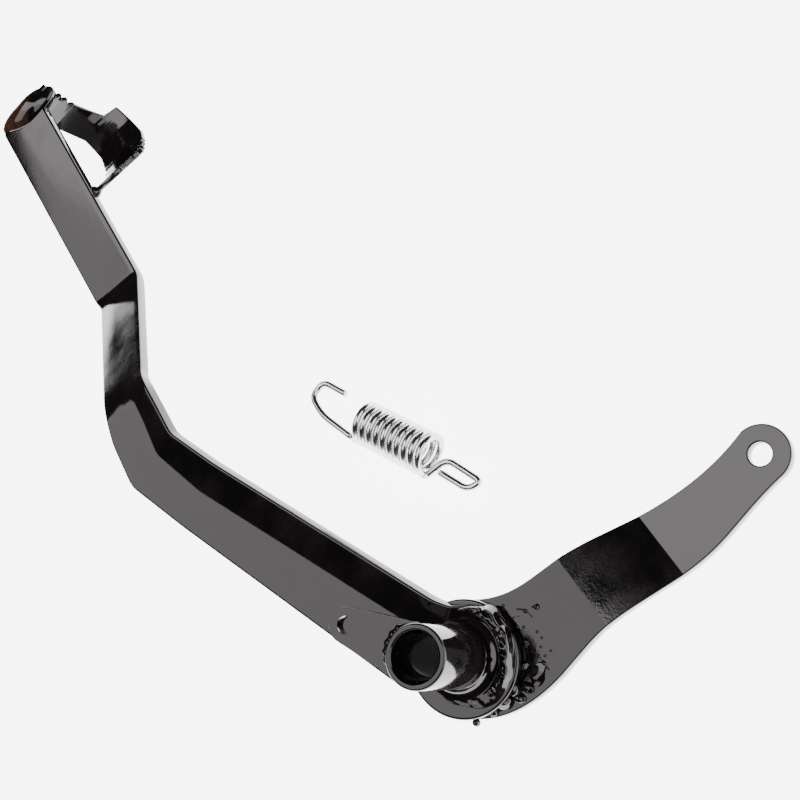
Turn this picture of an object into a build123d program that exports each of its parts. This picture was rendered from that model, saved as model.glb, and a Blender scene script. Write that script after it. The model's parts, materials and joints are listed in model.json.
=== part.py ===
from build123d import *
import os
from math import cos, radians, sin, tan

# A motorcycle rear brake pedal with its loose return spring, both lying on a flat surface.
# The pedal is drawn flat in its own plane: origin on the pivot axis where the lever plate meets
# the arm, x and y in the plane, z along the pivot tube. BED puts that plane as the pedal lies.
# The foot end of the arm is drawn in run coordinates: s along the arm towards the pivot,
# w across it towards the foot side, z as above.

# How the pedal lies: it rests on the foot pad, the boss and the lever's underside.
LEAN = (9.41, -7.63, -58.26)
PIVOT_AT = (-47.77, -149.96, 10.68)

# Plates and tube
ARM_SHEET = 5.0
LEVER_SHEET = 6.0
BOSS_RADIUS = 20.8
BOSS_CENTRE = (0.8, -0.7)
TUBE_OUTER = 11.0
TUBE_BORE = 8.6
TUBE_TOP = 42.0

# Arm
RUN_HEADING = -52.7
WEB_HEADING = -28.0
RUN_DROP = 47.0
RUN_SLOPE = 34.4
TIP_S = -343.0
OUTER_BEND_S = -234.0
BEND_REACH = 4.0
ARM_LEFT = -80.2
ARM_CREASE = -63.3
ARM_RIGHT = -55.6
FLANGE_TILT = 15.0

# Lever
LEVER_HEADING = 41.0
LEVER_DROP = 5.0
JOGGLE_START = 47.5
JOGGLE_END = 78.0
ROD_HOLE = (98.9, 73.6)
ROD_HOLE_RADIUS = 4.0
LEVER_END_RADIUS = 10.4

# Spring tab
TAB_SHEET = 4.5
TAB_TOP = 38.0
TAB_HOLE = (-28.4, 8.5)
TAB_HOLE_RADIUS = 3.1
TAB_END_RADIUS = 6.2

# Foot pad strap
STRAP = 2.6
STRAP_NEAR = -72.0
STRAP_FAR = -29.5

# Return spring, lying on its side with its axis a coil's height above the surface
WIRE = 2.8
COIL_RADIUS = 7.5
COIL_TURNS = 10
COIL_LENGTH = 36.0
AXIS_HEIGHT = COIL_RADIUS + WIRE / 2
SPRING_AT = (PIVOT_AT[0] + 44.7, PIVOT_AT[1] + 98.2, AXIS_HEIGHT)
SPRING_HEADING = -82.3
HOOK_BEND = 1.7
HOOK_LEAD = 2.4

# Welds
WELD_LEG = 6.5
WELD_RISE = 5.5
SEAM_BEAD = 1.4
TAB_BEAD = 2.5

os.makedirs("parts", exist_ok=True)

BED = Plane(Location(PIVOT_AT, LEAN))


def in_bed(plane):
    """A plane of the pedal's own frame, moved to where the pedal lies."""
    return Plane(BED.location * plane.location)


def level(height):
    """The pedal's plane, raised along the pivot tube."""
    return in_bed(Plane.XY.offset(height))


def heading(angle):
    """A unit vector in the pedal's plane."""
    return Vector(cos(radians(angle)), sin(radians(angle)), 0)


RUN = heading(RUN_HEADING)
ACROSS = heading(RUN_HEADING + 90)
WEB = heading(WEB_HEADING)
WEB_ACROSS = heading(WEB_HEADING + 90)


def rim_plane(angle):
    """A plane through the tube's axis: local x points outwards at the angle, local y up."""
    return in_bed(Plane(origin=(0, 0, 0), x_dir=heading(angle), z_dir=heading(angle - 90)))


def station(centre, along, across):
    """A section plane across the arm: local x points to the foot side, local y up."""
    return in_bed(Plane(origin=centre, x_dir=across, z_dir=along))


def arm_outline(left, crease, right, tilt):
    """Corners of the arm's section: a flat web from left to crease, a flange tilted up to right."""
    rise = (right - crease) * tan(radians(tilt))
    lift = ARM_SHEET * cos(radians(tilt))
    turn = ARM_SHEET * sin(radians(tilt))
    return [
        (left, 0),
        (crease, 0),
        (right + turn, rise + ARM_SHEET - lift),
        (right, rise + ARM_SHEET),
        (crease, ARM_SHEET),
        (left, ARM_SHEET),
    ]


# Arm: one ruled loft through its stations, and the round boss round the tube
INNER_BEND_S = OUTER_BEND_S + RUN_DROP / tan(radians(RUN_SLOPE))
BEND_RISE = BEND_REACH * tan(radians(RUN_SLOPE))
KINK = WEB_HEADING - RUN_HEADING
KINK_W = -69.0
KINK_S = -135.1
# s, slope in degrees, height of the underside, left edge, crease, right edge, flange tilt
run_stations = [
    (TIP_S, 0.0, -RUN_DROP, ARM_LEFT, ARM_CREASE, ARM_RIGHT, 0.0),
    (OUTER_BEND_S - BEND_REACH, 0.0, -RUN_DROP, ARM_LEFT, ARM_CREASE, ARM_RIGHT, 0.0),
    (OUTER_BEND_S, RUN_SLOPE / 2, -RUN_DROP + 0.6, -79.4, ARM_CREASE, ARM_RIGHT, 0.0),
    (OUTER_BEND_S + BEND_REACH, RUN_SLOPE, BEND_RISE - RUN_DROP, -78.6, ARM_CREASE, ARM_RIGHT, 0.0),
    (INNER_BEND_S - BEND_REACH, RUN_SLOPE, -BEND_RISE, -77.2, ARM_CREASE, ARM_RIGHT, 0.0),
    (INNER_BEND_S, RUN_SLOPE / 2, -0.6, -77.4, ARM_CREASE, -55.2, FLANGE_TILT / 2),
    (INNER_BEND_S + BEND_REACH, 0.0, 0.0, -78.6, ARM_CREASE, -54.8, FLANGE_TILT),
    (-152.0, 0.0, 0.0, -80.9, ARM_CREASE - 0.3, -54.8, FLANGE_TILT),
]
# place along the web, left edge, crease, right edge
web_stations = [
    (-125.0, -20.4, -4.7, 7.7),
    (-18.0, -21.2, -0.3, 11.6),
    (-12.0, -20.4, 2.0, 13.0),
    (-6.0, -19.4, 5.5, 16.8),
    (0.0, -19.2, 8.5, 19.2),
    (4.0, -19.0, 10.0, 19.8),
]


def arm_face(plane, left, crease, right, tilt):
    """The arm's section as a face on a station's plane."""
    with BuildSketch(plane) as section:
        with BuildLine():
            Polyline(*arm_outline(left, crease, right, tilt), close=True)
        make_face()
    return section.sketch


sections = []
for s, slope, height, left, crease, right, tilt in run_stations:
    along = RUN * cos(radians(slope)) + Vector(0, 0, sin(radians(slope)))
    plane = station(RUN * s + Vector(0, 0, height), along, ACROSS)
    sections.append(arm_face(plane, left, crease, right, tilt))
# The kink's section stands on the bisector of the two headings.
bisector = RUN_HEADING + KINK / 2
kink_centre = RUN * KINK_S + ACROSS * KINK_W
kink_plane = station(kink_centre, heading(bisector), heading(bisector + 90))
sections.append(arm_face(kink_plane, -13.4, 3.9, 14.5, FLANGE_TILT))
for a, left, crease, right in web_stations:
    sections.append(arm_face(station(WEB * a, WEB, WEB_ACROSS), left, crease, right, FLANGE_TILT))

with BuildPart() as arm:
    for near, far in zip(sections, sections[1:]):
        loft(sections=[near, far], ruled=True)
    with BuildSketch(level(0)):
        with Locations(BOSS_CENTRE):
            Circle(BOSS_RADIUS)
    extrude(amount=ARM_SHEET)
    with BuildSketch(level(-1)):
        Circle(TUBE_OUTER)
    extrude(amount=ARM_SHEET + 10, mode=Mode.SUBTRACT)
arm.part.label = "arm"

# Lever plate: its plan outline, cut from a plate that steps down at the joggle
lever_dir = heading(LEVER_HEADING)
lever_tip = Vector(ROD_HOLE) + lever_dir * LEVER_END_RADIUS
lever_side = in_bed(Plane(origin=(0, 0, 0), x_dir=lever_dir, z_dir=lever_dir.rotate(Axis.Z, -90)))
with BuildPart() as lever_plate:
    with BuildSketch(level(-20)):
        with Locations(BOSS_CENTRE):
            Circle(BOSS_RADIUS)
        with BuildLine():
            upper = Spline((1.5, 20.09), (15.7, 24.2), (33, 36.7), (58, 51.4), (92.2, 81.0))
            end = ThreePointArc(upper @ 1, lever_tip, (106.6, 66.6))
            lower = Spline(
                end @ 1,
                (97.4, 56.4),
                (84.6, 41.0),
                (65.0, 25.2),
                (47.0, 10.2),
                (34.2, -5.2),
                (20.5, -16.4),
                (4, -21.0),
            )
            Line(lower @ 1, upper @ 0)
        make_face()
    extrude(amount=30)
    with BuildSketch(lever_side):
        with BuildLine():
            top = Polyline(
                (-60, 0),
                (JOGGLE_START, 0),
                (JOGGLE_END, -LEVER_DROP),
                (160, -LEVER_DROP),
                (160, -LEVER_DROP - LEVER_SHEET),
                (JOGGLE_END, -LEVER_DROP - LEVER_SHEET),
                (JOGGLE_START, -LEVER_SHEET),
                (-60, -LEVER_SHEET),
                close=True,
            )
        make_face()
    extrude(amount=60, both=True, mode=Mode.INTERSECT)
    with BuildSketch(level(-20)):
        Circle(TUBE_OUTER)
        with Locations(ROD_HOLE):
            Circle(ROD_HOLE_RADIUS)
    extrude(amount=30, mode=Mode.SUBTRACT)
lever_plate.part.label = "lever_plate"

# Pivot tube: passes through both plates and stands up from them
with BuildPart() as pivot_tube:
    with BuildSketch(level(-LEVER_SHEET)):
        Circle(TUBE_OUTER)
        Circle(TUBE_BORE, mode=Mode.SUBTRACT)
    extrude(amount=LEVER_SHEET + TUBE_TOP)
    chamfer(pivot_tube.edges().filter_by(GeomType.CIRCLE).sort_by(Axis(BED.origin, BED.z_dir))[-2:], 0.5)
pivot_tube.part.label = "pivot_tube"

# Spring tab: a lug welded to the side of the tube
with BuildPart() as spring_tab:
    with BuildSketch(level(TAB_TOP - TAB_SHEET)):
        Circle(TUBE_OUTER - 0.3)
        with Locations(TAB_HOLE):
            Circle(TAB_END_RADIUS)
        make_hull()
        Circle(TUBE_OUTER, mode=Mode.SUBTRACT)
        with Locations(TAB_HOLE):
            Circle(TAB_HOLE_RADIUS, mode=Mode.SUBTRACT)
        with Locations((17, 0)):
            Rectangle(40, 60, mode=Mode.SUBTRACT)
    extrude(amount=TAB_SHEET)
spring_tab.part.label = "spring_tab"

# Foot pad: a strap bent into an open loop, with serrated narrow legs and a wide lip
LEG_S = -346.0
LEG_RISE = 53
under_run = in_bed(Plane(origin=(0, 0, -120), x_dir=RUN, z_dir=(0, 0, 1)))
with BuildPart() as foot_pad:
    side = in_bed(Plane(origin=ACROSS * STRAP_NEAR, x_dir=RUN, z_dir=ACROSS))
    with BuildSketch(side):
        with BuildLine():
            leg = Line((LEG_S, RUN_DROP - ARM_SHEET - 1), (LEG_S, RUN_DROP + 5))
            front = JernArc(leg @ 1, (0, 1), 19, -80)
            back = JernArc(front @ 1, front % 1, 38, -63)
            rise = (back @ 1).Y - RUN_DROP
            Line(back @ 1, (back @ 1) + Vector(rise / tan(radians(LEG_RISE)), -rise))
        trace(line_width=STRAP)
    extrude(amount=STRAP_FAR - STRAP_NEAR)
    # The near edge swings in under the arm at the tip, the far edge narrows along both legs.
    with BuildSketch(under_run):
        with BuildLine():
            Polyline(
                (-315, -54.6),
                (-330, -57.5),
                (-360, -74),
                (-360, -90),
                (-270, -90),
                (-270, -54.6),
                close=True,
            )
        make_face()
        with BuildLine():
            Polyline(
                (-333, -42),
                (-332, -34.5),
                (-311, -29.5),
                (-300, -20),
                (-360, -20),
                (-360, -49.5),
                (-343, -49.0),
                close=True,
            )
        make_face()
        with BuildLine():
            Polyline(
                (-292, -29),
                (-292, -33),
                (-287, -40),
                (-283.6, -48),
                (-275, -48),
                (-275, -20),
                (-292, -20),
                close=True,
            )
        make_face()
    extrude(amount=140, mode=Mode.SUBTRACT)
    add(arm.part, mode=Mode.SUBTRACT)
foot_pad.part.label = "foot_pad"


# Weld round the foot of the tube, on the arm
tube_axis = Axis(BED.origin, BED.z_dir)
with BuildPart() as tube_weld:
    with BuildSketch(rim_plane(0)):
        with BuildLine():
            Polyline(
                (TUBE_OUTER, ARM_SHEET),
                (TUBE_OUTER + WELD_LEG, ARM_SHEET),
                (TUBE_OUTER + WELD_LEG * 0.5, ARM_SHEET + WELD_RISE * 0.8),
                (TUBE_OUTER, ARM_SHEET + WELD_RISE),
                close=True,
            )
        make_face()
    revolve(axis=tube_axis)
    add(arm.part, mode=Mode.SUBTRACT)
tube_weld.part.label = "tube_weld"

# Weld along the arm's round end, on the lever plate's face
SEAM_START = -62
with BuildPart() as seam_weld:
    with BuildSketch(rim_plane(SEAM_START)):
        with BuildLine():
            Polyline(
                (BOSS_RADIUS - 3, 0),
                (BOSS_RADIUS + SEAM_BEAD * 1.5, 0),
                (BOSS_RADIUS + SEAM_BEAD, SEAM_BEAD),
                (BOSS_RADIUS - 3, ARM_SHEET),
                close=True,
            )
        make_face()
    revolve(axis=tube_axis, revolution_arc=122)
    add(arm.part, mode=Mode.SUBTRACT)
    add(tube_weld.part, mode=Mode.SUBTRACT)
seam_weld.part.label = "seam_weld"

# Weld between the spring tab and the tube
with BuildPart() as tab_weld:
    with BuildSketch(rim_plane(118)):
        with BuildLine():
            Polyline(
                (TUBE_OUTER, TAB_TOP),
                (TUBE_OUTER + TAB_BEAD, TAB_TOP),
                (TUBE_OUTER, TAB_TOP + TAB_BEAD),
                close=True,
            )
        make_face()
    revolve(axis=tube_axis, revolution_arc=90)
tab_weld.part.label = "tab_weld"

# Welds that hold the foot pad: a lump over the arm's tip, a bead inside the rear leg
with BuildPart() as tip_weld:
    with BuildSketch(in_bed(Plane(origin=ACROSS * ARM_LEFT, x_dir=RUN, z_dir=ACROSS))):
        with Locations((TIP_S - 1.5, RUN_DROP - ARM_SHEET + 0.5)):
            Ellipse(5.6, 4.2)
    extrude(amount=31)
    add(arm.part, mode=Mode.SUBTRACT)
    add(foot_pad.part, mode=Mode.SUBTRACT)
tip_weld.part.label = "tip_weld"

with BuildPart() as leg_weld:
    with BuildSketch(in_bed(Plane(origin=ACROSS * -62, x_dir=RUN, z_dir=ACROSS))):
        with Locations((-287, RUN_DROP)):
            Circle(3)
    extrude(amount=9)
    add(arm.part, mode=Mode.SUBTRACT)
    add(foot_pad.part, mode=Mode.SUBTRACT)
leg_weld.part.label = "leg_weld"

# Spatter: drops of weld metal on the lever's face, and one at the boss's rim
drops = [
    (25.4, 18.9, 1.1),
    (25.9, 10.4, 0.7),
    (27.8, 8.5, 0.6),
    (27.6, 5.4, 0.6),
    (29.3, 2.5, 0.6),
    (31.3, 4.3, 0.6),
]
RIM_DROP = (4.3, -22.3, -2.6)
RIM_DROP_RADIUS = 1.5
with BuildPart() as spatter:
    for x, y, radius in drops:
        with Locations(BED.location * Location((x, y, 0))):
            Sphere(radius)
    with Locations(BED.location * Location(RIM_DROP)):
        Sphere(RIM_DROP_RADIUS)
    add(arm.part, mode=Mode.SUBTRACT)
    add(lever_plate.part, mode=Mode.SUBTRACT)
    add(seam_weld.part, mode=Mode.SUBTRACT)
spatter.part.label = "spatter"

# Return spring: one wire, drawn as its coil and its two hooks
spring_dir = heading(SPRING_HEADING)
coil_plane = Plane(origin=SPRING_AT, x_dir=heading(SPRING_HEADING - 90), z_dir=spring_dir)
with BuildPart() as upright_coil:
    with BuildLine():
        coil = Helix(pitch=COIL_LENGTH / COIL_TURNS, height=COIL_LENGTH, radius=COIL_RADIUS)
    with BuildSketch(Plane(origin=coil @ 0, z_dir=coil % 0)):
        Circle(WIRE / 2)
    sweep(path=coil, is_frenet=True)
with BuildPart() as spring_coil:
    add(upright_coil.part.moved(coil_plane.location))
spring_coil.part.label = "spring_coil"

coil_start = coil_plane.from_local_coords(coil @ 0)
coil_end = coil_plane.from_local_coords(coil @ 1)
start_way = coil_plane.from_local_coords((coil @ 0) - (coil % 0) * HOOK_LEAD)
end_way = coil_plane.from_local_coords((coil @ 1) + (coil % 1) * HOOK_LEAD)

with BuildPart() as spring_hook_open:
    with BuildLine() as wire:
        FilletPolyline(
            coil_start,
            start_way,
            start_way + (0.0, 17.0, 0),
            start_way + (3.4, 26.4, 0),
            start_way + (10.9, 26.1, 0),
            start_way + (12.1, 13.7, 0),
            radius=HOOK_BEND,
        )
    with BuildSketch(Plane(origin=wire.line @ 0, z_dir=wire.line % 0)):
        Circle(WIRE / 2)
    sweep(path=wire.line)
spring_hook_open.part.label = "spring_hook_open"

with BuildPart() as spring_hook_closed:
    with BuildLine() as wire:
        FilletPolyline(
            coil_end,
            end_way,
            coil_end + (9.9, -3.6, -2.4),
            coil_end + (10.7, -21.8, -2.4),
            coil_end + (5.3, -18.6, -2.4),
            coil_end + (4.3, -4.6, -2.4),
            radius=HOOK_BEND,
        )
    with BuildSketch(Plane(origin=wire.line @ 0, z_dir=wire.line % 0)):
        Circle(WIRE / 2)
    sweep(path=wire.line)
spring_hook_closed.part.label = "spring_hook_closed"


def show(part):
    box = part.bounding_box()
    print(part.label, len(part.solids()), round(part.volume), box.min, box.max)


export_step(arm.part, "parts/arm.step")
export_step(lever_plate.part, "parts/lever_plate.step")
export_step(pivot_tube.part, "parts/pivot_tube.step")
export_step(spring_tab.part, "parts/spring_tab.step")
export_step(foot_pad.part, "parts/foot_pad.step")
export_step(tube_weld.part, "parts/tube_weld.step")
export_step(seam_weld.part, "parts/seam_weld.step")
export_step(tab_weld.part, "parts/tab_weld.step")
export_step(tip_weld.part, "parts/tip_weld.step")
export_step(leg_weld.part, "parts/leg_weld.step")
export_step(spatter.part, "parts/spatter.step")
export_step(spring_coil.part, "parts/spring_coil.step")
export_step(spring_hook_open.part, "parts/spring_hook_open.step")
export_step(spring_hook_closed.part, "parts/spring_hook_closed.step")

for piece in (arm, lever_plate, pivot_tube, spring_tab, foot_pad, tube_weld, seam_weld):
    show(piece.part)
for piece in (tab_weld, tip_weld, leg_weld, spatter, spring_coil):
    show(piece.part)
for piece in (spring_hook_open, spring_hook_closed):
    show(piece.part)
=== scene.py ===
import json
import math

import bpy
import numpy as np
from mathutils import Matrix, Vector


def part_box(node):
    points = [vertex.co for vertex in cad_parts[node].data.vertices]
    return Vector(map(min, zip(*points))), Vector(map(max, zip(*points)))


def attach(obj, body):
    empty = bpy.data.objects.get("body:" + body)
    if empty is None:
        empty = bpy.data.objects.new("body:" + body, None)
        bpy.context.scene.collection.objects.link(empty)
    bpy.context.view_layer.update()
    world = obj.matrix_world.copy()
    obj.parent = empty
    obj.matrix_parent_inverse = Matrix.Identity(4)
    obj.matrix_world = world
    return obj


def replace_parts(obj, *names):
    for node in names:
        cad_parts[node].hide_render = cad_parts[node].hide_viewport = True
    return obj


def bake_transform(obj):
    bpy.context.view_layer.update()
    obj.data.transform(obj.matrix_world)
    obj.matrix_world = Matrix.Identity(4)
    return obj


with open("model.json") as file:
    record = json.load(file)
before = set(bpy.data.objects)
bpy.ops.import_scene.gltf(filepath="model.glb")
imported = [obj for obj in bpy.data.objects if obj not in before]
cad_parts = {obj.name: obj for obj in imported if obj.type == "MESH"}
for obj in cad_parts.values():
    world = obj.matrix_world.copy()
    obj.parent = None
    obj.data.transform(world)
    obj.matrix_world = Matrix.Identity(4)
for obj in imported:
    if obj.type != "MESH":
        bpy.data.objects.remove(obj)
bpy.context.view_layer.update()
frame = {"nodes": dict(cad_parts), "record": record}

bl_info = {
    "name": "Brake pedal builder",
    "version": (1, 0, 0),
    "blender": (4, 5, 0),
    "location": "View3D > Sidebar > Pedal",
    "description": "Builds a motorcycle brake pedal and its loose return spring as they lie on a table",
    "category": "Object",
}

MM = 0.001

# Headings in the pedal's plane, in degrees: the rod hole, the arm's outer run and its inner web
ROD_HEADING = 36.65
RUN_HEADING = -52.7
WEB_HEADING = -28.0

# Sizes in millimetres: the arm's plate, the raised band along its crease, and the height of the
# bore's mount above the lever plate's top face
SHEET = 5.0
BAND = 5.5
BORE_DEPTH = 18.0
CAMERA_AT = (0.0119, -0.4041, 0.4826)


def pedal_frame():
    """Origin and axes of the pedal's own frame, in metres, from the record's bore and rod hole."""
    mounts = {m["name"]: m for m in frame["record"]["mounts"]}
    up = np.array(mounts["pivot_bore"]["axis"])
    origin = np.array(mounts["pivot_bore"]["pos_m"]) - up * BORE_DEPTH * MM
    rod = np.array(mounts["rod_hole"]["pos_m"]) - origin
    rod -= up * (rod @ up)
    rod /= np.linalg.norm(rod)
    side = np.cross(up, rod)
    turn = math.radians(ROD_HEADING)
    x_axis = rod * math.cos(turn) - side * math.sin(turn)
    return origin, x_axis, np.cross(up, x_axis), up


ORIGIN, X_AXIS, Y_AXIS, Z_AXIS = pedal_frame()


def heading(angle):
    """Unit vector in the pedal's plane."""
    return np.array([math.cos(math.radians(angle)), math.sin(math.radians(angle)), 0.0])


RUN = heading(RUN_HEADING)
ACROSS = heading(RUN_HEADING + 90)
WEB = heading(WEB_HEADING)
WEB_ACROSS = heading(WEB_HEADING + 90)
UP = np.array([0.0, 0.0, 1.0])


def to_row(points):
    """Points in the pedal's frame, in millimetres, as row points in metres."""
    p = np.asarray(points, float) * MM
    return ORIGIN + p[..., :1] * X_AXIS + p[..., 1:2] * Y_AXIS + p[..., 2:3] * Z_AXIS


def from_run(s, w, z):
    """Pedal points from run coordinates: s along the arm, w across it, z up."""
    s, w, z = np.broadcast_arrays(s, w, z)
    return s[..., None] * RUN + w[..., None] * ACROSS + z[..., None] * UP


def soft_corner(before, here, after, radius, share, count):
    """A corner as a curve: (1-t)^2 start + 2t(1-t) corner + t^2 end, for t from 0 to 1.

    Start and end lie on the two sides, at the radius or at that share of the shorter side.
    """
    back = before - here
    ahead = after - here
    reach = min(radius, np.linalg.norm(back) * share, np.linalg.norm(ahead) * share)
    start = here + back / np.linalg.norm(back) * reach
    end = here + ahead / np.linalg.norm(ahead) * reach
    return [
        (1 - t) ** 2 * start + 2 * t * (1 - t) * here + t * t * end for t in np.linspace(0, 1, count)
    ]


def rounded(corners, radius, steps):
    """A closed polygon with each of its corners softened."""
    corners = np.asarray(corners, float)
    made = []
    for i, here in enumerate(corners):
        after = corners[(i + 1) % len(corners)]
        made += soft_corner(corners[i - 1], here, after, radius, 0.45, steps + 1)
    return np.array(made)


def ways_along(path):
    """The unit direction of a path at each of its points."""
    ways = np.gradient(path, axis=0)
    return ways / np.linalg.norm(ways, axis=1)[:, None]


def lengths_along(path):
    """The length of a path from its start to each of its points."""
    return np.concatenate([[0], np.cumsum(np.linalg.norm(np.diff(path, axis=0), axis=1))])


def smoothed(values, width, spacing):
    """Rows of points averaged along the first direction with a bell curve of that width."""
    reach = max(1, int(3 * width / spacing))
    weights = np.exp(-0.5 * (np.arange(-reach, reach + 1) * spacing / width) ** 2)
    weights /= weights.sum()
    before = 2 * values[:1] - values[reach:0:-1]
    after = 2 * values[-1:] - values[-2 : -reach - 2 : -1]
    padded = np.concatenate([before, values, after])
    return sum(w * padded[i : i + len(values)] for i, w in enumerate(weights))


def bumps(x, y, seed, count=12, low=0.2, high=1.2):
    """Smooth random bumps over two coordinates: a sum of sines of random direction and phase."""
    rng = np.random.default_rng(seed)
    total = 0.0
    for _ in range(count):
        size = rng.uniform(low, high)
        turn = rng.uniform(0, 2 * math.pi)
        phase = rng.uniform(0, 2 * math.pi)
        total = total + np.sin(size * (x * math.cos(turn) + y * math.sin(turn)) + phase)
    return total / math.sqrt(count)


def make_piece(name, points, body, material, ring=False):
    """A closed mesh from rows of closed outlines, in row metres: ends joined if ring, else capped."""
    rows, columns = points.shape[:2]
    index = np.arange(rows * columns).reshape(rows, columns)
    following = np.roll(index, -1, axis=0) if ring else index[1:]
    near = index if ring else index[:-1]
    sides = [near, following, np.roll(following, -1, axis=1), np.roll(near, -1, axis=1)]
    quads = np.stack(sides, axis=-1).reshape(-1, 4)
    faces = quads.tolist()
    if not ring:
        faces.append(index[0].tolist())
        faces.append(index[-1][::-1].tolist())
    flat = points.reshape(-1, 3)
    a, b, c, d = (flat[quads[:, k]] for k in range(4))
    middle = flat.mean(axis=0)
    # six times the volume inside: below nought, the faces point inwards and are turned round
    volume = np.sum(np.cross(b - a, c - a) * (a - middle))
    volume = volume + np.sum(np.cross(c - a, d - a) * (a - middle))
    if volume < 0:
        faces = [face[::-1] for face in faces]
    mesh = bpy.data.meshes.new(name)
    mesh.from_pydata(flat.tolist(), [], faces)
    mesh.polygons.foreach_set("use_smooth", [True] * len(mesh.polygons))
    mesh.materials.append(material)
    mesh.update()
    piece = bpy.data.objects.new(name, mesh)
    bpy.context.scene.collection.objects.link(piece)
    if body:
        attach(piece, body)
    return piece


def tube_along(path, radius, sides=14):
    """Rows of circles of that radius along a path of points, carried along without twist."""
    path = np.asarray(path, float)
    ways = ways_along(path)
    normal = np.cross(ways[0], [0.31, 0.17, 0.93])
    normal /= np.linalg.norm(normal)
    angles = np.linspace(0, 2 * math.pi, sides, endpoint=False)
    rows = []
    for point, way in zip(path, ways):
        normal = normal - way * (normal @ way)
        normal /= np.linalg.norm(normal)
        other = np.cross(way, normal)
        ring = np.cos(angles)[:, None] * normal + np.sin(angles)[:, None] * other
        rows.append(point + radius * ring)
    return np.array(rows)


def rounded_path(corners, radius, spacing):
    """Points along an open polyline whose corners are softened."""
    corners = np.asarray(corners, float)
    made = [corners[0]]
    for before, here, after in zip(corners, corners[1:], corners[2:]):
        made += soft_corner(before, here, after, radius, 0.48, 10)
    made.append(corners[-1])
    return resampled(np.array(made), spacing)


def resampled(path, spacing):
    """The same line with points at even spacing."""
    steps = np.linalg.norm(np.diff(path, axis=0), axis=1)
    keep = np.concatenate([[True], steps > 1e-6])
    path = path[keep]
    along = lengths_along(path)
    count = max(3, int(along[-1] / spacing) + 1)
    places = np.linspace(0, along[-1], count)
    return np.stack([np.interp(places, along, path[:, k]) for k in range(3)], axis=1)


# Materials


def coat_group():
    """Uneven enamel: a mottled colour, its roughness, and a normal with orange peel and sags."""
    group = bpy.data.node_groups.new("uneven_coat", "ShaderNodeTree")
    face = group.interface
    face.new_socket("Dark", in_out="INPUT", socket_type="NodeSocketColor")
    face.new_socket("Stain", in_out="INPUT", socket_type="NodeSocketColor")
    face.new_socket("Sag", in_out="INPUT", socket_type="NodeSocketFloat")
    face.new_socket("Color", in_out="OUTPUT", socket_type="NodeSocketColor")
    face.new_socket("Roughness", in_out="OUTPUT", socket_type="NodeSocketFloat")
    face.new_socket("Normal", in_out="OUTPUT", socket_type="NodeSocketVector")
    nodes, links = group.nodes, group.links
    given = nodes.new("NodeGroupInput")
    out = nodes.new("NodeGroupOutput")
    place = nodes.new("ShaderNodeTexCoord")
    mottle = nodes.new("ShaderNodeTexNoise")
    mottle.inputs["Scale"].default_value = 70
    mottle.inputs["Detail"].default_value = 6
    mottle.inputs["Roughness"].default_value = 0.6
    ramp = nodes.new("ShaderNodeMapRange")
    ramp.inputs["From Min"].default_value = 0.42
    ramp.inputs["From Max"].default_value = 0.66
    mix = nodes.new("ShaderNodeMix")
    mix.data_type = "RGBA"
    rough = nodes.new("ShaderNodeMapRange")
    rough.inputs["From Min"].default_value = 0.3
    rough.inputs["From Max"].default_value = 0.7
    rough.inputs["To Min"].default_value = 0.05
    rough.inputs["To Max"].default_value = 0.13
    sag = nodes.new("ShaderNodeTexNoise")
    sag.inputs["Scale"].default_value = 110
    sag.inputs["Detail"].default_value = 1
    peel = nodes.new("ShaderNodeTexNoise")
    peel.inputs["Scale"].default_value = 900
    peel.inputs["Detail"].default_value = 2
    low = nodes.new("ShaderNodeBump")
    low.inputs["Distance"].default_value = 0.0008
    high = nodes.new("ShaderNodeBump")
    high.inputs["Distance"].default_value = 0.00003
    high.inputs["Strength"].default_value = 0.35
    for texture in (mottle, sag, peel):
        links.new(place.outputs["Object"], texture.inputs["Vector"])
    links.new(mottle.outputs["Fac"], ramp.inputs["Value"])
    links.new(ramp.outputs["Result"], mix.inputs["Factor"])
    links.new(given.outputs["Dark"], mix.inputs["A"])
    links.new(given.outputs["Stain"], mix.inputs["B"])
    links.new(mottle.outputs["Fac"], rough.inputs["Value"])
    links.new(sag.outputs["Fac"], low.inputs["Height"])
    links.new(given.outputs["Sag"], low.inputs["Strength"])
    links.new(peel.outputs["Fac"], high.inputs["Height"])
    links.new(low.outputs["Normal"], high.inputs["Normal"])
    links.new(mix.outputs["Result"], out.inputs["Color"])
    links.new(rough.outputs["Result"], out.inputs["Roughness"])
    links.new(high.outputs["Normal"], out.inputs["Normal"])
    return group


def enamel(name, dark, stain, sag):
    """Gloss black enamel over steel."""
    material = bpy.data.materials.new(name)
    material.use_nodes = True
    nodes, links = material.node_tree.nodes, material.node_tree.links
    shader = nodes["Principled BSDF"]
    group = bpy.data.node_groups.get("uneven_coat") or coat_group()
    coat = nodes.new("ShaderNodeGroup")
    coat.node_tree = group
    coat.inputs["Dark"].default_value = (*dark, 1)
    coat.inputs["Stain"].default_value = (*stain, 1)
    coat.inputs["Sag"].default_value = sag
    links.new(coat.outputs["Color"], shader.inputs["Base Color"])
    links.new(coat.outputs["Roughness"], shader.inputs["Roughness"])
    links.new(coat.outputs["Normal"], shader.inputs["Normal"])
    shader.inputs["IOR"].default_value = 1.52
    return material


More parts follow.
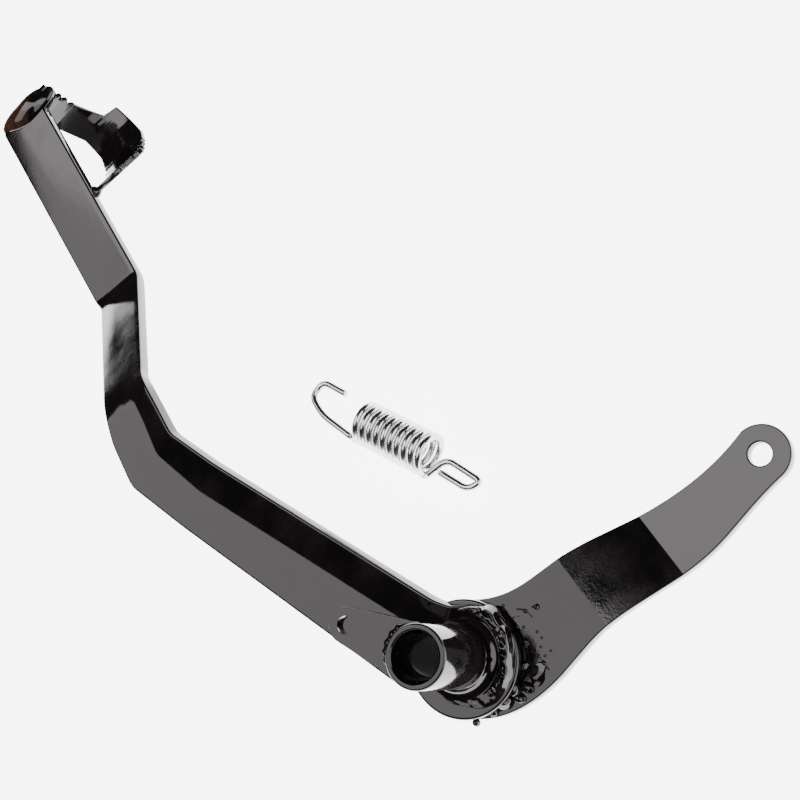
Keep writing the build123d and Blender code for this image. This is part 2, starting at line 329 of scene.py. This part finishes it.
def zinc(name):
    """Bright zinc on spring wire: a metal with a little unevenness along it."""
    material = bpy.data.materials.new(name)
    material.use_nodes = True
    nodes, links = material.node_tree.nodes, material.node_tree.links
    shader = nodes["Principled BSDF"]
    shader.inputs["Metallic"].default_value = 1
    place = nodes.new("ShaderNodeTexCoord")
    noise = nodes.new("ShaderNodeTexNoise")
    noise.inputs["Scale"].default_value = 400
    shade = nodes.new("ShaderNodeMix")
    shade.data_type = "RGBA"
    shade.inputs["A"].default_value = (0.4, 0.4, 0.41, 1)
    shade.inputs["B"].default_value = (0.66, 0.66, 0.65, 1)
    rough = nodes.new("ShaderNodeMapRange")
    rough.inputs["To Min"].default_value = 0.1
    rough.inputs["To Max"].default_value = 0.26
    links.new(place.outputs["Object"], noise.inputs["Vector"])
    links.new(noise.outputs["Fac"], shade.inputs["Factor"])
    links.new(noise.outputs["Fac"], rough.inputs["Value"])
    links.new(shade.outputs["Result"], shader.inputs["Base Color"])
    links.new(rough.outputs["Result"], shader.inputs["Roughness"])
    return material


def look(kind):
    """The named material, made once."""
    found = bpy.data.materials.get(kind)
    if found:
        return found
    paint = bpy.context.scene.pedal_paint
    if kind == "zinc":
        return zinc(kind)
    if kind == "plate_enamel":
        return enamel(kind, paint.dark, paint.stain, paint.plate_sag)
    if kind == "weld_enamel":
        return enamel(kind, paint.dark, paint.stain, paint.weld_sag)
    return enamel(kind, paint.dark, paint.rust, paint.weld_sag)


class PaintSettings(bpy.types.PropertyGroup):
    dark: bpy.props.FloatVectorProperty(
        name="Black",
        description="Colour of the enamel",
        subtype="COLOR",
        default=(0.0032, 0.0026, 0.0032),
    )
    stain: bpy.props.FloatVectorProperty(
        name="Mottle",
        description="Colour of its mottling",
        subtype="COLOR",
        default=(0.009, 0.0055, 0.0055),
    )
    rust: bpy.props.FloatVectorProperty(
        name="Rust",
        description="Colour where the weld shows through",
        subtype="COLOR",
        default=(0.05, 0.022, 0.014),
    )
    plate_sag: bpy.props.FloatProperty(
        name="Plate sag",
        description="Unevenness of the coat on plates",
        default=0.015,
        min=0,
        max=1,
    )
    weld_sag: bpy.props.FloatProperty(
        name="Weld sag", description="Unevenness of the coat on welds", default=0.25, min=0, max=1
    )


# Arm


class ArmSettings(bpy.types.PropertyGroup):
    drop: bpy.props.FloatProperty(
        name="Drop",
        description="Depth of the foot end below the pivot end, in millimetres",
        default=47.0,
    )
    slope: bpy.props.FloatProperty(
        name="Slope", description="Angle of the slope", subtype="ANGLE", default=math.radians(34.4)
    )
    outer_bend: bpy.props.FloatProperty(
        name="Outer bend",
        description="Place of the outer slope bend along the run, in millimetres",
        default=-234.0,
    )
    flange: bpy.props.FloatProperty(
        name="Flange", description="Tilt of the flange", subtype="ANGLE", default=math.radians(15.0)
    )
    corner: bpy.props.FloatProperty(
        name="Corner",
        description="Rounding of the plate's corners, in millimetres",
        default=0.9,
        min=0.05,
    )
    bend: bpy.props.FloatProperty(
        name="Bend", description="Softness of the bends, in millimetres", default=1.7, min=0.1
    )


def arm_outline(left, crease, right, tilt, corner):
    """The arm's section: a flat web from left to crease, then a flange tilted up to right.

    The top face rises by a small band beside the crease, less so where the flange flattens out.
    """
    rise = (right - crease) * math.tan(tilt)
    lift = SHEET * math.cos(tilt)
    turn = SHEET * math.sin(tilt)
    middle = crease + (right - crease) * 0.5
    under_middle = (middle - crease) * math.tan(tilt)
    fade = min(1.0, tilt * 4)
    band = min(BAND, crease - left) * math.tan(math.radians(3.5)) * fade
    corners = [
        (left, 0),
        ((left + crease) * 0.5, 0),
        (crease, 0),
        (middle, under_middle),
        (right + turn, rise + SHEET - lift),
        (right, rise + SHEET),
        (middle, under_middle + SHEET + band * 0.5),
        (crease, SHEET + band),
        (crease - BAND, SHEET),
        (left, SHEET),
    ]
    return rounded(corners, corner, 5)


def arm_rows(arm):
    """The arm as rows of sections: straight between its stations, with every bend smoothed."""
    run_in = arm.outer_bend + arm.drop / math.tan(arm.slope)
    reach = 4.0
    rise = reach * math.tan(arm.slope)
    half, tilt = arm.slope / 2, arm.flange
    crease = -63.3
    # each station: place along the run, slope of the plate, height, left, crease, right, flange tilt
    stations = [
        (-343.0, 0.0, -arm.drop, -80.2, crease, -55.6, 0.0),
        (arm.outer_bend - reach, 0.0, -arm.drop, -80.2, crease, -55.6, 0.0),
        (arm.outer_bend, half, 0.6 - arm.drop, -79.4, crease, -55.6, 0.0),
        (arm.outer_bend + reach, arm.slope, rise - arm.drop, -78.6, crease, -55.6, 0.0),
        (run_in - reach, arm.slope, -rise, -77.2, crease, -55.6, 0.0),
        (run_in, half, -0.6, -77.4, crease, -55.2, tilt / 2),
        (run_in + reach, 0.0, 0.0, -78.6, crease, -54.8, tilt),
        (-152.0, 0.0, 0.0, -80.9, crease - 0.3, -54.8, tilt),
    ]
    sections = []
    for s, slope, height, left, fold, right, lean in stations:
        outline = arm_outline(left, fold, right, lean, arm.corner)
        up = UP * math.cos(slope) - RUN * math.sin(slope)
        centre = RUN * s + UP * height
        sections.append(centre + outline[:, :1] * ACROSS + outline[:, 1:] * up)
    turn = (WEB_HEADING - RUN_HEADING) / 2
    # from the kink to the boss: middle, direction across, left, crease, right
    places = [
        (RUN * -135.1 + ACROSS * -69.0, heading(RUN_HEADING + 90 + turn), -13.4, 3.9, 14.5),
        (WEB * -125.0, WEB_ACROSS, -20.4, -4.7, 7.7),
        (WEB * -18.0, WEB_ACROSS, -21.2, -0.3, 11.6),
        (WEB * -12.0, WEB_ACROSS, -20.4, 2.0, 13.0),
        (WEB * -10.5, WEB_ACROSS, 1.0, 4.0, 13.9),
        (WEB * -6.0, WEB_ACROSS, 9.6, 11.0, 16.8),
        (WEB * 0.0, WEB_ACROSS, 11.6, 13.5, 19.2),
        (WEB * 4.0, WEB_ACROSS, 12.0, 14.5, 19.8),
    ]
    for centre, side, left, fold, right in places:
        outline = arm_outline(left, fold, right, tilt, arm.corner)
        sections.append(centre + outline[:, :1] * side + outline[:, 1:] * UP)
    sections = np.array(sections)
    middles = sections.mean(axis=1)
    along = lengths_along(middles)
    spacing = 1.0
    wanted = np.arange(0, along[-1] + 0.01, spacing)
    flat = sections.reshape(len(sections), -1)
    rows = np.stack([np.interp(wanted, along, flat[:, k]) for k in range(flat.shape[1])], axis=1)
    rows = smoothed(rows, arm.bend, spacing).reshape(len(wanted), -1, 3)
    # the first and last two rows are drawn in a little, which softens the ends
    for place, pull in ((0, 0.036), (-1, 0.036), (1, 0.012), (-2, 0.012)):
        rows[place] += (rows[place].mean(axis=0) - rows[place]) * pull
    return rows


def disc_rows(centre, inner, outer, low, high, corner):
    """A ring plate: its section, a rounded rectangle, turned about the centre."""
    angles = np.linspace(0, 2 * math.pi, 160, endpoint=False)
    section = rounded([(inner, low), (outer, low), (outer, high), (inner, high)], corner, 5)
    ways = np.stack([np.cos(angles), np.sin(angles), np.zeros_like(angles)], axis=1)
    return np.array([*centre, 0]) + section[None, :, :1] * ways[:, None] + section[None, :, 1:] * UP


class PEDAL_OT_arm(bpy.types.Operator):
    """Adds the arm's bent plate and the round boss at its end"""

    bl_idname = "pedal.arm"
    bl_label = "Add arm"

    def execute(self, context):
        arm = context.scene.pedal_arm
        paint = look("plate_enamel")
        plate = make_piece("arm_plate", to_row(arm_rows(arm)), "pedal", paint)
        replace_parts(plate, "arm")
        rows = disc_rows((0.8, -0.7), 11.5, 20.8, 0.0, SHEET - 0.06, 1.0)
        make_piece("arm_boss", to_row(rows), "pedal", paint, ring=True)
        return {"FINISHED"}


# Foot pad


class PadSettings(bpy.types.PropertyGroup):
    strap: bpy.props.FloatProperty(
        name="Strap", description="Thickness, in millimetres", default=2.6
    )
    pitch: bpy.props.FloatProperty(
        name="Pitch", description="Tooth spacing, in millimetres", default=5.2
    )
    tooth: bpy.props.FloatProperty(
        name="Tooth", description="Tooth depth, in millimetres", default=2.2
    )


def turned(way, angle):
    """A flat direction turned by that angle."""
    cos, sin = math.cos(angle), math.sin(angle)
    return np.array([way[0] * cos - way[1] * sin, way[0] * sin + way[1] * cos])


def strap_line():
    """The strap's middle line seen from the side: a leg, a tight bend, a wide lip, a rear leg.

    Each bend is an arc walked in equal steps, every step along the chord halfway through its turn.
    """
    bend_steps = 24
    place = np.array([-346.0, -41.0])
    way = np.array([0.0, -1.0])
    made = [place]
    place = place + way * 11.0
    made.append(place)
    for radius, sweep in ((19.0, 80.0), (38.0, 63.0)):
        turn = math.radians(sweep / bend_steps)
        for _ in range(bend_steps):
            place = place + turned(way, turn / 2) * radius * turn
            way = turned(way, turn)
            made.append(place)
    rise = -47.0 - place[1]
    made.append(place + np.array([rise / math.tan(math.radians(53)), rise]))
    made = np.array(made)
    return resampled(np.column_stack([made, np.zeros(len(made))]), 0.35)[:, :2]


def teeth(along, start, end, pitch, depth):
    """How deep the edge is cut between two places along the strap, for a row of pointed teeth.

    Over each pitch the cut falls from its full depth to nought and rises again, in straight lines.
    """
    phase = np.mod((along - start) / pitch, 1.0)
    tooth = depth * (1 - np.abs(2 * phase - 1))
    inside = (along > start) & (along < end)
    return np.where(inside, depth - tooth, 0.0)


def pad_rows(pad):
    """The strap as rows of rounded rectangles along its line, its edges cut with teeth."""
    line = strap_line()
    ways = ways_along(line)
    along = lengths_along(line)
    run = line[:, 0]
    # the strap's two edges: places along the run, and how far across it each edge lies there
    near = np.interp(run, [-348, -330, -315, -270], [-67.4, -57.5, -54.6, -54.6])
    far = np.interp(
        run,
        [-348, -343, -333, -332, -311, -292.2, -292, -287, -283.6, -275],
        [-49.2, -49.0, -42.0, -34.5, -29.5, -29.5, -33.0, -40.0, -48.0, -48.0],
    )
    far = far - teeth(along, 1.5, 20.0, pad.pitch * 0.8, pad.tooth)
    far = far - teeth(along, along[-1] - 26.0, along[-1] - 2.0, pad.pitch, pad.tooth)
    near = near + teeth(along, along[-1] - 30.0, along[-1] - 2.0, pad.pitch, pad.tooth * 0.6)
    rows = []
    for point, way, low, high in zip(line, ways, near, far):
        out = np.array([way[1], -way[0]])
        half = pad.strap / 2
        section = rounded([(low, -half), (high, -half), (high, half), (low, half)], 0.7, 4)
        offs = section[:, 1:] * out
        rows.append(from_run(point[0] + offs[:, 0], section[:, 0], point[1] + offs[:, 1]))
    return np.array(rows)


class PEDAL_OT_pad(bpy.types.Operator):
    """Adds the foot pad: a toothed strap bent into an open loop"""

    bl_idname = "pedal.pad"
    bl_label = "Add foot pad"

    def execute(self, context):
        rows = to_row(pad_rows(context.scene.pedal_pad))
        pad = make_piece("foot_strap", rows, "pedal", look("plate_enamel"))
        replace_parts(pad, "foot_pad")
        return {"FINISHED"}


# Welds


class WeldSettings(bpy.types.PropertyGroup):
    ripple: bpy.props.FloatProperty(
        name="Ripple", description="Height of a bead's ripples, in millimetres", default=0.5
    )
    spacing: bpy.props.FloatProperty(
        name="Spacing", description="Ripple spacing, in millimetres", default=3.0
    )
    lump: bpy.props.FloatProperty(
        name="Lump", description="Uneven height of a bead, in millimetres", default=0.45
    )


def bead_rows(path, widths, heights, weld, seed):
    """A weld bead along a level path: an oval section, grown and shrunk by ripples and lumps.

    The ripples are a sine of the length along the bead, and its ends taper as a square root.
    """
    path = np.asarray(path, float)
    ways = ways_along(path)
    along = lengths_along(path)
    angles = np.linspace(0, 2 * math.pi, 40, endpoint=False)
    ends = np.sqrt(np.clip(np.minimum(along, along[-1] - along) / 3.0, 0.02, 1.0))
    rows = []
    for i, (point, way) in enumerate(zip(path, ways)):
        side = np.cross(way, UP)
        side /= np.linalg.norm(side)
        lift = np.cross(side, way)
        ripple = weld.ripple * math.sin(2 * math.pi * along[i] / weld.spacing)
        lumps = weld.lump * bumps(along[i] + 0 * angles, angles * 1.5, seed, low=0.3, high=0.9)
        grow = (1 + (lumps + ripple) / (heights[i] + widths[i])) * ends[i]
        sideways = (np.cos(angles) * widths[i] * grow)[:, None] * side
        upwards = (np.sin(angles) * heights[i] * grow)[:, None] * lift
        rows.append(point + sideways + upwards)
    return np.array(rows)


def arc_path(radius, start, end, height):
    """Points half a millimetre apart on an arc round the tube, at that height."""
    count = int(math.radians(end - start) * radius / 0.5)
    angles = np.radians(np.linspace(start, end, count))
    return np.stack([radius * np.cos(angles), radius * np.sin(angles), np.full(count, height)], axis=1)


def eased(value):
    """Rises smoothly from 0 to 1 as value goes from 0 to 1."""
    value = np.clip(value, 0, 1)
    return value * value * (3 - 2 * value)


def foot_rows(weld):
    """The weld round the tube's foot, as a height over angle and radius.

    A hollow fillet falls away from the tube as an exponential. Beyond it, on the lever's side, a
    ridge rises and falls with the radius, roughened by smooth bumps.
    """
    turn = np.linspace(-180, 180, 420, endpoint=False)
    reach = np.interp(
        turn,
        [-180, -150, -113, -90, -70, -46, -22, 12, 40, 62, 78, 93, 108, 130, 180],
        [13.2, 13.2, 15.4, 17.0, 19.0, 20.9, 20.6, 20.6, 20.8, 20.8, 18.8, 18.2, 15.5, 13.2, 13.2],
    )
    ridge = np.interp(turn, [-60, -38, -20, 60, 72, 80, 98, 112], [0, 0.6, 2.7, 3.0, 2.0, 2.6, 2.4, 0])
    angle = np.radians(turn)[:, None]
    reach = reach[:, None] + 0.5 * bumps(angle * 12, angle * 0, 3, low=0.5, high=1.6)
    t = np.linspace(0, 1, 40)[None, :]
    radius = 10.6 + (reach - 10.6) * t
    x, y = radius * np.cos(angle), radius * np.sin(angle)
    fillet = 3.6 * np.exp(-np.maximum(radius - 11.0, 0) / 1.5)
    top = eased((radius - 14.8) / 1.3) * (1 - eased((radius - reach + 2.0) / 2.0))
    rough = bumps(x, y, 5, low=0.8, high=2.0) * weld.lump + bumps(x, y, 6, low=2.6, high=4.0) * 0.05
    height = SHEET + fillet + ridge[:, None] * top + rough * top * (0.25 + ridge[:, None] / 4)
    height = height - 0.5 * eased((t - 0.93) / 0.07)
    points = np.stack([x, y, height], axis=-1)
    under = points[:, [-1, 0]]
    under[..., 2] = SHEET - 2.0
    return np.concatenate([points, under], axis=1)


def blob_rows(centre, radii, axes, seed, lump):
    """A rounded lump: an ellipsoid from pole to pole, pushed in and out by smooth bumps."""
    polar = np.linspace(0.04, math.pi - 0.04, 40)
    girth = np.linspace(0, 2 * math.pi, 48, endpoint=False)
    p, a = np.meshgrid(polar, girth, indexing="ij")
    ways = np.stack([np.cos(p), np.sin(p) * np.cos(a), np.sin(p) * np.sin(a)], axis=-1)
    slant = ways[..., 0] * 3 + ways[..., 1] * 2
    push = 1 + lump * bumps(slant, ways[..., 2] * 3, seed, low=0.6, high=2.2)
    local = ways * np.array(radii) * push[..., None]
    return np.asarray(centre) + local @ np.array(axes)


class PEDAL_OT_welds(bpy.types.Operator):
    """Adds the weld beads, the lump over the arm's tip and the spatter"""

    bl_idname = "pedal.welds"
    bl_label = "Add welds"

    def execute(self, context):
        weld = context.scene.pedal_welds
        paint = look("weld_enamel")
        foot = make_piece("tube_foot_weld", to_row(foot_rows(weld)), "pedal", paint, ring=True)
        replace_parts(foot, "tube_weld")
        # middle, and half-sizes long, wide and high, of the lumps at the boss's edge
        lumps = [
            (19.0, -9.4, 1.4, 2.8, 2.2, 2.2),
            (23.6, -8.6, 0.2, 2.4, 1.7, 1.2),
            (20.6, -12.4, 0.4, 2.6, 1.9, 1.3),
            (15.6, -14.2, 1.6, 3.2, 2.2, 2.4),
            (22.0, -1.6, 0.2, 2.2, 1.6, 1.5),
            (27.2, -3.4, -0.5, 5.0, 3.4, 0.9),
            (22.0, 6.4, 0.0, 1.7, 1.2, 0.9),
            (11.4, -17.0, 0.8, 2.6, 1.6, 1.8),
        ]
        for number, (x, y, z, long, wide, high) in enumerate(lumps):
            axes = (heading(-55 + 25 * number), heading(35 + 25 * number), UP)
            rows = blob_rows((x, y, z), (long, wide, high), axes, 50 + number, 0.1)
            lump = make_piece(f"boss_lump_{number}", to_row(rows), "pedal", paint)
            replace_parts(lump, "seam_weld")
        # the corners of each drip's path on the lever's face
        drips = [
            [(17.7, 17.7, 0), (20.7, 17.9, 0), (23.0, 16.3, 0), (24.2, 15.0, 0)],
            [(15.7, 13.8, 0), (17.1, 14.9, 0), (19.3, 15.4, 0)],
            [(23.7, 4.1, 0), (26.7, 2.6, 0), (29.4, -0.2, 0), (31.3, -2.4, 0)],
        ]
        for number, corners in enumerate(drips):
            path = rounded_path(corners, 2.0, 0.3)
            size = 0.3 * np.sin(np.linspace(0.1, 0.9, len(path)) * math.pi)
            rows = bead_rows(path, size + 0.1, size + 0.05, weld, 70 + number)
            make_piece(f"drip_{number}", to_row(rows), "pedal", paint)
        path = arc_path(11.2, 112, 208, 38.0)
        count = len(path)
        shape = np.sin(np.linspace(0.1, 0.9, count) * math.pi) ** 0.5
        rows = bead_rows(path, 2.3 * shape, 2.0 * shape, weld, 12)
        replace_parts(make_piece("tab_bead", to_row(rows), "pedal", paint), "tab_weld")
        middle = from_run(-343.6, -63.5, -43.6)
        rows = blob_rows(middle, (16.0, 6.6, 5.0), (ACROSS, RUN, UP), 21, 0.06)
        tip = make_piece("tip_lump", to_row(rows), "pedal", look("rust_enamel"))
        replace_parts(tip, "tip_weld")
        middle = from_run(-286.5, -57.5, -47.2)
        rows = blob_rows(middle, (5.0, 3.0, 2.6), (ACROSS, RUN, UP), 22, 0.08)
        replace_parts(make_piece("leg_bead", to_row(rows), "pedal", paint), "leg_weld")
        # middle and radius of each drop of spatter
        drops = [
            (25.4, 18.9, 0.0, 1.1),
            (23.9, 18.8, 0.0, 0.5),
            (12.9, 18.5, 0.0, 0.6),
            (18.6, 11.6, 0.0, 0.6),
            (20.9, 11.6, 0.0, 0.6),
            (20.0, 10.2, 0.0, 0.6),
            (25.9, 10.4, 0.0, 0.55),
            (27.8, 8.5, 0.0, 0.5),
            (27.6, 5.4, 0.0, 0.5),
            (29.3, 2.5, 0.0, 0.55),
            (31.3, 4.3, 0.0, 0.5),
            (4.3, -22.3, -2.6, 1.5),
        ]
        for number, (x, y, z, radius) in enumerate(drops):
            rows = blob_rows((x, y, z), (radius,) * 3, np.eye(3), 30 + number, 0.04)
            drop = make_piece(f"spatter_{number}", to_row(rows), "pedal", paint)
            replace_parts(drop, "spatter")
        return {"FINISHED"}


# Spring


class SpringSettings(bpy.types.PropertyGroup):
    wire: bpy.props.FloatProperty(
        name="Wire", description="Wire diameter, in millimetres", default=2.8
    )
    radius: bpy.props.FloatProperty(
        name="Coil radius", description="To the wire's middle, in millimetres", default=7.5
    )
    turns: bpy.props.IntProperty(name="Turns", description="Turns of the coil", default=10)
    length: bpy.props.FloatProperty(
        name="Length", description="Coil length, in millimetres", default=36.0
    )
    direction: bpy.props.FloatProperty(
        name="Heading",
        description="Which way the axis points on the table",
        subtype="ANGLE",
        default=math.radians(-82.3),
    )


class PEDAL_OT_spring(bpy.types.Operator):
    """Adds the return spring: a close coil with an open hook and a closed hook"""

    bl_idname = "pedal.spring"
    bl_label = "Add spring"

    def execute(self, context):
        spring = context.scene.pedal_spring
        low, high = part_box("spring_coil")
        way = np.array([math.cos(spring.direction), math.sin(spring.direction), 0.0])
        left = np.array([math.sin(spring.direction), -math.cos(spring.direction), 0.0])
        middle = (np.array(low) + np.array(high)) / 2 / MM
        middle[2] = spring.radius + spring.wire / 2
        start = middle - way * spring.length / 2
        turn = np.linspace(0, 2 * math.pi * spring.turns, spring.turns * 56 + 1)
        coil = (
            start
            + (turn / turn[-1] * spring.length)[:, None] * way
            + spring.radius * np.cos(turn)[:, None] * left
            - spring.radius * np.sin(turn)[:, None] * UP
        )
        zinc_look = look("zinc")
        rows = tube_along(coil, spring.wire / 2) * MM
        piece = make_piece("coil", rows, None, zinc_look)
        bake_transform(piece)
        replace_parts(piece, "spring_coil")
        lead = UP * 2.3 + way * -0.4
        first = coil[0] + lead
        steps = ((0.0, 17.0, 0), (3.4, 26.4, 0), (10.9, 26.1, 0), (12.1, 13.7, 0))
        points = [coil[0], first, *(first + np.array(steps))]
        rows = tube_along(rounded_path(points, 5.0, 0.5), spring.wire / 2) * MM
        piece = make_piece("hook_open", rows, "spring", zinc_look)
        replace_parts(piece, "spring_hook_open")
        last = coil[-1]
        steps = ((9.9, -3.6, -2.4), (10.7, -21.8, -2.4), (5.3, -18.6, -2.4), (4.3, -4.6, -2.4))
        points = [last, last - lead, *(last + np.array(steps))]
        rows = tube_along(rounded_path(points, 4.0, 0.5), spring.wire / 2) * MM
        piece = make_piece("hook_closed", rows, "spring_hook", zinc_look)
        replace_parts(piece, "spring_hook_closed")
        return {"FINISHED"}


# CAD pieces that stay in view


class PEDAL_OT_plates(bpy.types.Operator):
    """Gives the lever, tube and tab their enamel and soft edges"""

    bl_idname = "pedal.plates"
    bl_label = "Finish plates"

    def execute(self, context):
        edges = (("lever_plate", 0.8), ("pivot_tube", 0.3), ("spring_tab", 0.7))
        for name, width in edges:
            piece = frame["nodes"][name]
            piece.data.materials.clear()
            piece.data.materials.append(look("plate_enamel"))
            weld = piece.modifiers.new("Join", "WELD")
            weld.merge_threshold = 0.00001
            flat = piece.modifiers.new("Flat", "DECIMATE")
            flat.decimate_type = "DISSOLVE"
            flat.angle_limit = math.radians(1.0)
            soft = piece.modifiers.new("Edges", "BEVEL")
            soft.width = width * MM
            soft.segments = 4
            soft.limit_method = "ANGLE"
            soft.angle_limit = math.radians(40)
        return {"FINISHED"}


# Stage


class StageSettings(bpy.types.PropertyGroup):
    elevation: bpy.props.FloatProperty(
        name="Elevation", description="Of the camera", subtype="ANGLE", default=math.radians(54.09)
    )
    roll: bpy.props.FloatProperty(
        name="Roll", description="Of the camera", subtype="ANGLE", default=math.radians(-54.46)
    )
    lens: bpy.props.FloatProperty(
        name="Lens", description="Focal length, in millimetres", default=68.4
    )
    box_power: bpy.props.FloatProperty(
        name="Softbox", description="Power of the softbox, in watts", default=9.6
    )
    sun_power: bpy.props.FloatProperty(
        name="Fill", description="Strength of the fill light", default=2.0
    )
    # painted glow: the paper's emission stands in for light on the table, it is no lamp
    painted_glow: bpy.props.FloatProperty(
        name="Glow", description="Light from under the paper", default=6.5
    )
    sky: bpy.props.FloatProperty(name="Room", description="Brightness of the room", default=0.04)


def paper_with_painted_glow(painted_glow):
    """White paper with a painted glow, no lamp: it glows most round the middle and less further out, a
    painted pool of light.

    Under the pivot's bore it doesn't glow: a painted shadow where the bore stands right over it.
    """
    paper = bpy.data.materials.new("paper")
    paper.use_nodes = True
    nodes, links = paper.node_tree.nodes, paper.node_tree.links
    shader = nodes["Principled BSDF"]
    shader.inputs["Base Color"].default_value = (0.86, 0.86, 0.86, 1)
    shader.inputs["Roughness"].default_value = 0.7
    shader.inputs["Specular IOR Level"].default_value = 0.2
    shader.inputs["Emission Color"].default_value = (1, 1, 1, 1)
    place = nodes.new("ShaderNodeTexCoord")
    away = nodes.new("ShaderNodeVectorMath")
    away.operation = "LENGTH"
    # painted pool of light: the glow is strongest round the middle and fades further out
    fade = nodes.new("ShaderNodeMapRange")
    fade.interpolation_type = "SMOOTHSTEP"
    fade.inputs["From Min"].default_value = 0.45
    fade.inputs["From Max"].default_value = 1.3
    fade.inputs["To Min"].default_value = painted_glow
    fade.inputs["To Max"].default_value = 0.0
    # painted shadow: the glow is cut to nothing within 12 mm of the point under the bore and returns by
    # 22 mm
    bore_shadow_distance = nodes.new("ShaderNodeVectorMath")
    bore_shadow_distance.operation = "DISTANCE"
    bore_shadow_distance.inputs[1].default_value = (ORIGIN[0], ORIGIN[1], 0)
    shade = nodes.new("ShaderNodeMapRange")
    shade.interpolation_type = "SMOOTHSTEP"
    shade.inputs["From Min"].default_value = 0.012
    shade.inputs["From Max"].default_value = 0.022
    glow_with_painted_bore_shadow = nodes.new("ShaderNodeMath")
    glow_with_painted_bore_shadow.operation = "MULTIPLY"
    links.new(place.outputs["Object"], bore_shadow_distance.inputs[0])
    links.new(bore_shadow_distance.outputs["Value"], shade.inputs["Value"])
    links.new(place.outputs["Object"], away.inputs[0])
    links.new(away.outputs["Value"], fade.inputs["Value"])
    links.new(fade.outputs["Result"], glow_with_painted_bore_shadow.inputs[0])
    links.new(shade.outputs["Result"], glow_with_painted_bore_shadow.inputs[1])
    links.new(glow_with_painted_bore_shadow.outputs["Value"], shader.inputs["Emission Strength"])
    return paper


class PEDAL_OT_stage(bpy.types.Operator):
    """Adds the camera, the table and the lights"""

    bl_idname = "pedal.stage"
    bl_label = "Add stage"

    def execute(self, context):
        stage = context.scene.pedal_stage
        data = bpy.data.cameras.new("camera")
        data.lens = stage.lens
        data.sensor_width = 36
        data.clip_start = 0.01
        camera = bpy.data.objects.new("camera", data)
        context.scene.collection.objects.link(camera)
        down = Matrix.Rotation(math.pi / 2 - stage.elevation, 4, "X")
        camera.matrix_world = (
            Matrix.Translation(CAMERA_AT) @ down @ Matrix.Rotation(stage.roll, 4, "Z")
        )
        context.scene.camera = camera

        mesh = bpy.data.meshes.new("table")
        half = 0.8
        corners = [(-half, -half, 0), (half, -half, 0), (half, half, 0), (-half, half, 0)]
        mesh.from_pydata(corners, [], [(0, 1, 2, 3)])
        table = bpy.data.objects.new("table", mesh)
        context.scene.collection.objects.link(table)
        # the table's paper carries a painted glow, emission that is no lamp
        mesh.materials.append(paper_with_painted_glow(stage.painted_glow))
        # two softboxes side by side: name, place, size and power
        lights = (
            ("softbox", (-0.5, 0.3, 1.0), (0.5, 1.2), stage.box_power * 0.55),
            ("softbox_right", (-0.125, 0.3, 1.0), (0.25, 1.2), stage.box_power * 0.45),
        )
        for name, place, size, power in lights:
            lamp = bpy.data.lights.new(name, "AREA")
            lamp.shape = "RECTANGLE"
            lamp.size, lamp.size_y = size
            lamp.energy = power
            lamp.color = (1.0, 0.95, 0.98)
            softbox = bpy.data.objects.new(name, lamp)
            softbox.location = place
            context.scene.collection.objects.link(softbox)
        fill = bpy.data.lights.new("fill", "SUN")
        fill.energy = stage.sun_power
        fill.angle = math.radians(50)
        sun = bpy.data.objects.new("fill", fill)
        sun.rotation_euler = Vector((0.35, -0.7, 0.62)).to_track_quat("Z", "Y").to_euler()
        context.scene.collection.objects.link(sun)

        world = bpy.data.worlds.new("room")
        world.use_nodes = True
        back = world.node_tree.nodes["Background"]
        back.inputs["Color"].default_value = (1, 1, 1, 1)
        back.inputs["Strength"].default_value = stage.sky
        context.scene.world = world
        return {"FINISHED"}


class PEDAL_PT_panel(bpy.types.Panel):
    bl_label = "Brake pedal"
    bl_idname = "PEDAL_PT_panel"
    bl_space_type = "VIEW_3D"
    bl_region_type = "UI"
    bl_category = "Pedal"

    def draw(self, context):
        for name, operator in STEPS:
            box = self.layout.box()
            settings = getattr(context.scene, name)
            for key in type(settings).__annotations__:
                box.prop(settings, key)
            box.operator(operator)


STEPS = (
    ("pedal_stage", "pedal.stage"),
    ("pedal_paint", "pedal.plates"),
    ("pedal_arm", "pedal.arm"),
    ("pedal_pad", "pedal.pad"),
    ("pedal_welds", "pedal.welds"),
    ("pedal_spring", "pedal.spring"),
)
SETTINGS = {
    "pedal_stage": StageSettings,
    "pedal_paint": PaintSettings,
    "pedal_arm": ArmSettings,
    "pedal_pad": PadSettings,
    "pedal_welds": WeldSettings,
    "pedal_spring": SpringSettings,
}
CLASSES = (
    *SETTINGS.values(),
    PEDAL_OT_stage,
    PEDAL_OT_plates,
    PEDAL_OT_arm,
    PEDAL_OT_pad,
    PEDAL_OT_welds,
    PEDAL_OT_spring,
    PEDAL_PT_panel,
)


def register():
    for each in CLASSES:
        bpy.utils.register_class(each)
    for name, settings in SETTINGS.items():
        setattr(bpy.types.Scene, name, bpy.props.PointerProperty(type=settings))


def unregister():
    for name in SETTINGS:
        delattr(bpy.types.Scene, name)
    for each in reversed(CLASSES):
        bpy.utils.unregister_class(each)


def main():
    register()
    bpy.ops.pedal.stage()
    bpy.ops.pedal.plates()
    bpy.ops.pedal.arm()
    bpy.ops.pedal.pad()
    bpy.ops.pedal.welds()
    bpy.ops.pedal.spring()


if __name__ == "__main__":
    main()
